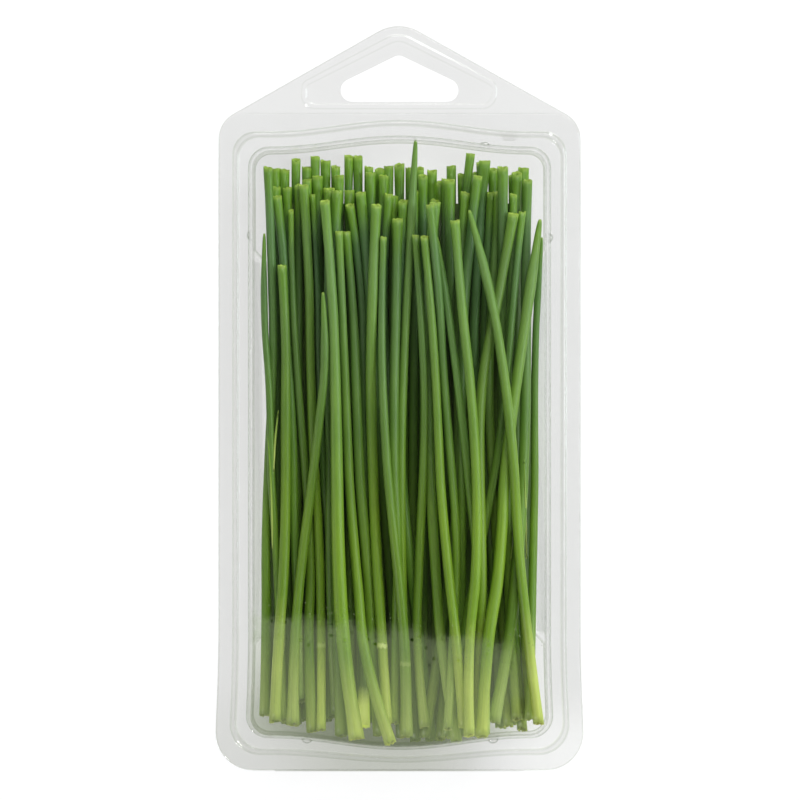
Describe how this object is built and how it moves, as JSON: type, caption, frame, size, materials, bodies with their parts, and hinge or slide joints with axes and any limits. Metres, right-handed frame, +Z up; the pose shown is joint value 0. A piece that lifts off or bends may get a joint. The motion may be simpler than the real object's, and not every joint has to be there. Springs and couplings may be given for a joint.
{
  "type": "chive bunch in a clear hinged pack",
  "caption": "Cut chives lying side by side in a clear plastic hinged pack with a pointed hang tab; the front lid folds open at its foot edge.",
  "frame": {"origin": "centre of the pack's outline, on the surface that it lies on", "axes": "+X across the pack, +Y from the chives' cut feet to the hang tab, +Z up through the lid"},
  "size_m": [0.103, 0.209, 0.0254],
  "materials": {
    "clear_plastic": "clear, smooth, thin formed sheet",
    "chive_green": "fresh plant skin, satin, finely ribbed along its length",
    "chive_shaded": "fresh plant skin, satin, in shade"
  },
  "bodies": {
    "tray": {"tray": "clear_plastic", "hinge": "clear_plastic", "chives_back_row": "chive_shaded", "chives_middle_row": "chive_shaded", "chive_01": "chive_green", "chive_02": "chive_green", "chive_03": "chive_green", "chive_04": "chive_green", "chive_05": "chive_green", "chive_06": "chive_green", "chive_07": "chive_green", "chive_08": "chive_green", "chive_09": "chive_green", "chive_10": "chive_green", "chive_11": "chive_green", "chive_12": "chive_green", "chive_13": "chive_green", "chive_14": "chive_green", "chive_15": "chive_green", "chive_16": "chive_green", "chive_17": "chive_green", "chive_18": "chive_green", "chive_19": "chive_green", "chive_20": "chive_green", "chive_21": "chive_green", "chive_22": "chive_green", "chive_23": "chive_green", "chive_24": "chive_green", "chive_25": "chive_green", "chive_26": "chive_green", "chive_27": "chive_green", "chive_28": "chive_green", "chive_29": "chive_green", "chive_30": "chive_green", "chive_31": "chive_green", "chive_32": "chive_green", "chive_33": "chive_green", "chive_34": "chive_green", "chive_35": "chive_green", "chive_36": "chive_green", "chive_37": "chive_green", "chive_38": "chive_green", "chive_39": "chive_green", "chive_40": "chive_green", "chive_41": "chive_green", "chive_42": "chive_green", "chive_43": "chive_green"},
    "lid": {"lid": "clear_plastic"}
  },
  "joints": [
    {"name": "lid_hinge", "type": "hinge", "parent": "tray", "child": "lid", "pos_m": [0, -0.1042, 0.01365], "axis": [1, 0, 0], "range_deg": [0, 180]}
  ]
}
